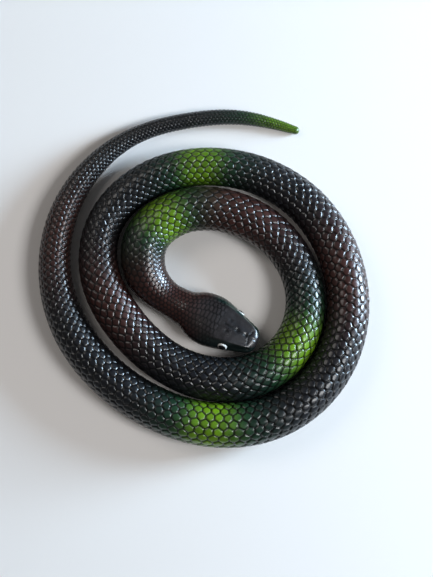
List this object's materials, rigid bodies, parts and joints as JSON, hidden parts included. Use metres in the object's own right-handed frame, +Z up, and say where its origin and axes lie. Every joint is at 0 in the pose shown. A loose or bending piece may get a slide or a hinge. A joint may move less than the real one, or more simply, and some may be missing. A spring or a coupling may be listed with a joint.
{
  "type": "rubber toy snake",
  "caption": "Soft rubber toy snake lying coiled, belly down, with the head inside the coil and the tail outside; it straightens out, and its head and tail lift.",
  "frame": {"origin": "on the surface the snake lies on, under the middle of the coil's outline", "axes": "+Z up from the surface; +X to the right and +Y away, with the head pointing right and towards the viewer and the tail at the back"},
  "size_m": [0.1326, 0.1363, 0.0167],
  "materials": {
    "dark_rubber": "glossy sprayed rubber, near black",
    "brown_rubber": "glossy sprayed rubber, red-brown",
    "green_rubber": "glossy sprayed rubber, yellow-green",
    "eye_paint": "gloss paint, white ring and black pupil"
  },
  "bodies": {
    "head": {"head": "dark_rubber", "left_eye": "eye_paint", "right_eye": "eye_paint"},
    "neck_1": {"neck_1": "brown_rubber"},
    "neck_2": {"neck_2": "dark_rubber"},
    "neck_3": {"neck_3": "dark_rubber"},
    "neck_4": {"neck_4": "dark_rubber"},
    "neck_5": {"neck_5": "dark_rubber"},
    "body_01": {"body_01": "green_rubber"},
    "body_02": {"body_02": "green_rubber"},
    "body_03": {"body_03": "dark_rubber"},
    "body_04": {"body_04": "brown_rubber"},
    "body_05": {"body_05": "brown_rubber"},
    "body_06": {"body_06": "dark_rubber"},
    "body_07": {"body_07": "dark_rubber"},
    "body_08": {"body_08": "green_rubber"},
    "body_09": {"body_09": "green_rubber"},
    "body_10": {"body_10": "dark_rubber"},
    "body_11": {"body_11": "dark_rubber"},
    "body_12": {"body_12": "dark_rubber"},
    "body_13": {"body_13": "brown_rubber"},
    "body_14": {"body_14": "brown_rubber"},
    "body_15": {"body_15": "dark_rubber"},
    "body_16": {"body_16": "dark_rubber"},
    "body_17": {"body_17": "dark_rubber"},
    "body_18": {"body_18": "green_rubber"},
    "body_19": {"body_19": "dark_rubber"},
    "body_20": {"body_20": "dark_rubber"},
    "body_21": {"body_21": "dark_rubber"},
    "body_22": {"body_22": "brown_rubber"},
    "body_23": {"body_23": "dark_rubber"},
    "body_24": {"body_24": "dark_rubber"},
    "body_25": {"body_25": "dark_rubber"},
    "body_26": {"body_26": "green_rubber"},
    "tail_1": {"tail_1": "dark_rubber"},
    "tail_2": {"tail_2": "dark_rubber"},
    "tail_3": {"tail_3": "dark_rubber"},
    "tail_4": {"tail_4": "brown_rubber"},
    "tail_5": {"tail_5": "dark_rubber"},
    "tail_6": {"tail_6": "dark_rubber"},
    "tail_7": {"tail_7": "dark_rubber"},
    "tail_8": {"tail_8": "dark_rubber"},
    "tail_tip": {"tail_tip": "dark_rubber"}
  },
  "joints": [
    {"name": "head_lift", "type": "hinge", "parent": "neck_1", "child": "head", "pos_m": [-0.00723, -0.0127, 0.00627], "axis": [-0.4946, -0.8691, 0], "range_deg": [0, 40], "stiffness_Nm_per_rad": 0.45},
    {"name": "head_turn", "type": "hinge", "parent": "neck_2", "child": "neck_1", "pos_m": [-0.01401, -0.00884, 0.00578], "axis": [0, 0, 1], "range_deg": [0, 35], "stiffness_Nm_per_rad": 0.42},
    {"name": "neck_2_bend", "type": "hinge", "parent": "neck_3", "child": "neck_2", "pos_m": [-0.01982, -0.00403, 0.0065], "axis": [0, 0, -1], "range_deg": [0, 19.34], "stiffness_Nm_per_rad": 0.7},
    {"name": "neck_3_bend", "type": "hinge", "parent": "neck_4", "child": "neck_3", "pos_m": [-0.02341, 0.00194, 0.00726], "axis": [0, 0, -1], "range_deg": [0, 23.21], "stiffness_Nm_per_rad": 1.1},
    {"name": "neck_4_bend", "type": "hinge", "parent": "neck_5", "child": "neck_4", "pos_m": [-0.02442, 0.00927, 0.00761], "axis": [0, 0, -1], "range_deg": [0, 24.49], "stiffness_Nm_per_rad": 1.3},
    {"name": "neck_5_bend", "type": "hinge", "parent": "body_01", "child": "neck_5", "pos_m": [-0.02223, 0.01659, 0.00775], "axis": [0, 0, -1], "range_deg": [0, 28.24], "stiffness_Nm_per_rad": 1.3},
    {"name": "body_01_bend", "type": "hinge", "parent": "body_02", "child": "body_01", "pos_m": [-0.01614, 0.0227, 0.00764], "axis": [0, 0, -1], "range_deg": [0, 21.6], "stiffness_Nm_per_rad": 1},
    {"name": "body_02_bend", "type": "hinge", "parent": "body_03", "child": "body_02", "pos_m": [-0.00664, 0.02683, 0.00751], "axis": [0, 0, -1], "range_deg": [0, 20.62], "stiffness_Nm_per_rad": 0.85},
    {"name": "body_03_bend", "type": "hinge", "parent": "body_04", "child": "body_03", "pos_m": [0.00443, 0.02738, 0.00739], "axis": [0, 0, -1], "range_deg": [0, 17.05], "stiffness_Nm_per_rad": 0.77},
    {"name": "body_04_bend", "type": "hinge", "parent": "body_05", "child": "body_04", "pos_m": [0.01542, 0.02461, 0.00726], "axis": [0, 0, -1], "range_deg": [0, 15.47], "stiffness_Nm_per_rad": 0.67},
    {"name": "body_05_bend", "type": "hinge", "parent": "body_06", "child": "body_05", "pos_m": [0.02636, 0.01838, 0.00694], "axis": [0, 0, -1], "range_deg": [0, 19.5], "stiffness_Nm_per_rad": 0.49},
    {"name": "body_06_bend", "type": "hinge", "parent": "body_07", "child": "body_06", "pos_m": [0.03594, 0.00731, 0.00657], "axis": [0, 0, -1], "range_deg": [0, 23.93], "stiffness_Nm_per_rad": 0.34},
    {"name": "body_07_bend", "type": "hinge", "parent": "body_08", "child": "body_07", "pos_m": [0.04088, -0.00891, 0.00663], "axis": [0, 0, -1], "range_deg": [0, 30.98], "stiffness_Nm_per_rad": 0.31},
    {"name": "body_08_bend", "type": "hinge", "parent": "body_09", "child": "body_08", "pos_m": [0.03641, -0.02678, 0.00702], "axis": [0, 0, -1], "range_deg": [0, 36.31], "stiffness_Nm_per_rad": 0.37},
    {"name": "body_09_bend", "type": "hinge", "parent": "body_10", "child": "body_09", "pos_m": [0.02193, -0.03877, 0.00737], "axis": [0, 0, -1], "range_deg": [0, 32.73], "stiffness_Nm_per_rad": 0.46},
    {"name": "body_10_bend", "type": "hinge", "parent": "body_11", "child": "body_10", "pos_m": [0.00368, -0.04099, 0.00752], "axis": [0, 0, -1], "range_deg": [0, 25.53], "stiffness_Nm_per_rad": 0.52},
    {"name": "body_11_bend", "type": "hinge", "parent": "body_12", "child": "body_11", "pos_m": [-0.01259, -0.03551, 0.00723], "axis": [0, 0, -1], "range_deg": [0, 18.57], "stiffness_Nm_per_rad": 0.47},
    {"name": "body_12_bend", "type": "hinge", "parent": "body_13", "child": "body_12", "pos_m": [-0.0253, -0.02586, 0.0072], "axis": [0, 0, -1], "range_deg": [0, 13.8], "stiffness_Nm_per_rad": 0.48},
    {"name": "body_13_bend", "type": "hinge", "parent": "body_14", "child": "body_13", "pos_m": [-0.03534, -0.01348, 0.00718], "axis": [0, 0, -1], "range_deg": [0, 16.36], "stiffness_Nm_per_rad": 0.46},
    {"name": "body_14_bend", "type": "hinge", "parent": "body_15", "child": "body_14", "pos_m": [-0.04205, 0.00259, 0.00669], "axis": [0, 0, -1], "range_deg": [0, 28.59], "stiffness_Nm_per_rad": 0.32},
    {"name": "body_15_bend", "type": "hinge", "parent": "body_16", "child": "body_15", "pos_m": [-0.04013, 0.02103, 0.00615], "axis": [0, 0, -1], "range_deg": [0, 33.66], "stiffness_Nm_per_rad": 0.22},
    {"name": "body_16_bend", "type": "hinge", "parent": "body_17", "child": "body_16", "pos_m": [-0.02815, 0.03552, 0.00625], "axis": [0, 0, -1], "range_deg": [0, 25.82], "stiffness_Nm_per_rad": 0.23},
    {"name": "uncoil", "type": "hinge", "parent": "body_17", "child": "body_18", "pos_m": [-0.01134, 0.04321, 0.00639], "axis": [0, 0, 1], "range_deg": [0, 20.42], "stiffness_Nm_per_rad": 0.26},
    {"name": "body_19_bend", "type": "hinge", "parent": "body_18", "child": "body_19", "pos_m": [0.00684, 0.04453, 0.00646], "axis": [0, 0, 1], "range_deg": [0, 18.11], "stiffness_Nm_per_rad": 0.27},
    {"name": "body_20_bend", "type": "hinge", "parent": "body_19", "child": "body_20", "pos_m": [0.02504, 0.04, 0.0066], "axis": [0, 0, 1], "range_deg": [0, 20.08], "stiffness_Nm_per_rad": 0.28},
    {"name": "body_21_bend", "type": "hinge", "parent": "body_20", "child": "body_21", "pos_m": [0.04172, 0.02874, 0.00685], "axis": [0, 0, 1], "range_deg": [0, 22.63], "stiffness_Nm_per_rad": 0.3},
    {"name": "body_22_bend", "type": "hinge", "parent": "body_21", "child": "body_22", "pos_m": [0.05375, 0.01045, 0.00705], "axis": [0, 0, 1], "range_deg": [0, 23.28], "stiffness_Nm_per_rad": 0.31},
    {"name": "body_23_bend", "type": "hinge", "parent": "body_22", "child": "body_23", "pos_m": [0.05793, -0.01316, 0.00719], "axis": [0, 0, 1], "range_deg": [0, 27.4], "stiffness_Nm_per_rad": 0.31},
    {"name": "body_24_bend", "type": "hinge", "parent": "body_23", "child": "body_24", "pos_m": [0.05029, -0.03762, 0.00734], "axis": [0, 0, 1], "range_deg": [0, 31.43], "stiffness_Nm_per_rad": 0.32},
    {"name": "body_25_bend", "type": "hinge", "parent": "body_24", "child": "body_25", "pos_m": [0.03053, -0.05494, 0.00751], "axis": [0, 0, 1], "range_deg": [0, 31.36], "stiffness_Nm_per_rad": 0.35},
    {"name": "body_26_bend", "type": "hinge", "parent": "body_25", "child": "body_26", "pos_m": [0.00496, -0.05939, 0.00753], "axis": [0, 0, 1], "range_deg": [0, 25.19], "stiffness_Nm_per_rad": 0.36},
    {"name": "tail_1_bend", "type": "hinge", "parent": "body_26", "child": "tail_1", "pos_m": [-0.0189, -0.05285, 0.00727], "axis": [0, 0, 1], "range_deg": [0, 18.44], "stiffness_Nm_per_rad": 0.33},
    {"name": "tail_2_bend", "type": "hinge", "parent": "tail_1", "child": "tail_2", "pos_m": [-0.03863, -0.03966, 0.00695], "axis": [0, 0, 1], "range_deg": [0, 17.81], "stiffness_Nm_per_rad": 0.29},
    {"name": "tail_3_bend", "type": "hinge", "parent": "tail_2", "child": "tail_3", "pos_m": [-0.0529, -0.02167, 0.00642], "axis": [0, 0, 1], "range_deg": [0, 32.18], "stiffness_Nm_per_rad": 0.21},
    {"name": "tail_lift", "type": "hinge", "parent": "tail_3", "child": "tail_4", "pos_m": [-0.05985, 0.00004, 0.00546], "axis": [0.9941, 0.1089, 0], "range_deg": [0, 40], "stiffness_Nm_per_rad": 0.11},
    {"name": "tail_5_bend", "type": "hinge", "parent": "tail_4", "child": "tail_5", "pos_m": [-0.0578, 0.0224, 0.00477], "axis": [0, 0, 1], "range_deg": [0, 34.24], "stiffness_Nm_per_rad": 0.066},
    {"name": "tail_6_bend", "type": "hinge", "parent": "tail_5", "child": "tail_6", "pos_m": [-0.04705, 0.04263, 0.00386], "axis": [0, 0, 1], "range_deg": [0, 22.55], "stiffness_Nm_per_rad": 0.028},
    {"name": "tail_7_bend", "type": "hinge", "parent": "tail_6", "child": "tail_7", "pos_m": [-0.02917, 0.05734, 0.00288], "axis": [0, 0, 1], "range_deg": [0, 22.45], "stiffness_Nm_per_rad": 0.0085},
    {"name": "tail_8_bend", "type": "hinge", "parent": "tail_7", "child": "tail_8", "pos_m": [-0.00701, 0.06413, 0.00256], "axis": [0, 0, 1], "range_deg": [0, 14.04], "stiffness_Nm_per_rad": 0.0053},
    {"name": "tail_tip_bend", "type": "hinge", "parent": "tail_8", "child": "tail_tip", "pos_m": [0.01675, 0.06536, 0.00227], "axis": [0, 0, 1], "range_deg": [0, 16.52], "stiffness_Nm_per_rad": 0.0032}
  ],
  "couplings": [
    {"joint": "neck_2_bend", "follows": "uncoil", "ratio": 0.94691},
    {"joint": "neck_3_bend", "follows": "uncoil", "ratio": 1.1365},
    {"joint": "neck_4_bend", "follows": "uncoil", "ratio": 1.1992},
    {"joint": "neck_5_bend", "follows": "uncoil", "ratio": 1.3831},
    {"joint": "body_01_bend", "follows": "uncoil", "ratio": 1.0576},
    {"joint": "body_02_bend", "follows": "uncoil", "ratio": 1.0099},
    {"joint": "body_03_bend", "follows": "uncoil", "ratio": 0.83492},
    {"joint": "body_04_bend", "follows": "uncoil", "ratio": 0.75739},
    {"joint": "body_05_bend", "follows": "uncoil", "ratio": 0.95509},
    {"joint": "body_06_bend", "follows": "uncoil", "ratio": 1.1716},
    {"joint": "body_07_bend", "follows": "uncoil", "ratio": 1.517},
    {"joint": "body_08_bend", "follows": "uncoil", "ratio": 1.7782},
    {"joint": "body_09_bend", "follows": "uncoil", "ratio": 1.6029},
    {"joint": "body_10_bend", "follows": "uncoil", "ratio": 1.25},
    {"joint": "body_11_bend", "follows": "uncoil", "ratio": 0.9095},
    {"joint": "body_12_bend", "follows": "uncoil", "ratio": 0.67571},
    {"joint": "body_13_bend", "follows": "uncoil", "ratio": 0.80132},
    {"joint": "body_14_bend", "follows": "uncoil", "ratio": 1.4002},
    {"joint": "body_15_bend", "follows": "uncoil", "ratio": 1.6484},
    {"joint": "body_16_bend", "follows": "uncoil", "ratio": 1.2646},
    {"joint": "body_19_bend", "follows": "uncoil", "ratio": 0.88702},
    {"joint": "body_20_bend", "follows": "uncoil", "ratio": 0.9835},
    {"joint": "body_21_bend", "follows": "uncoil", "ratio": 1.1082},
    {"joint": "body_22_bend", "follows": "uncoil", "ratio": 1.1402},
    {"joint": "body_23_bend", "follows": "uncoil", "ratio": 1.3419},
    {"joint": "body_24_bend", "follows": "uncoil", "ratio": 1.5389},
    {"joint": "body_25_bend", "follows": "uncoil", "ratio": 1.5357},
    {"joint": "body_26_bend", "follows": "uncoil", "ratio": 1.2335},
    {"joint": "tail_1_bend", "follows": "uncoil", "ratio": 0.90309},
    {"joint": "tail_2_bend", "follows": "uncoil", "ratio": 0.87218},
    {"joint": "tail_3_bend", "follows": "uncoil", "ratio": 1.5757},
    {"joint": "tail_5_bend", "follows": "uncoil", "ratio": 1.6769},
    {"joint": "tail_6_bend", "follows": "uncoil", "ratio": 1.1044},
    {"joint": "tail_7_bend", "follows": "uncoil", "ratio": 1.0992},
    {"joint": "tail_8_bend", "follows": "uncoil", "ratio": 0.68751},
    {"joint": "tail_tip_bend", "follows": "uncoil", "ratio": 0.80886}
  ]
}
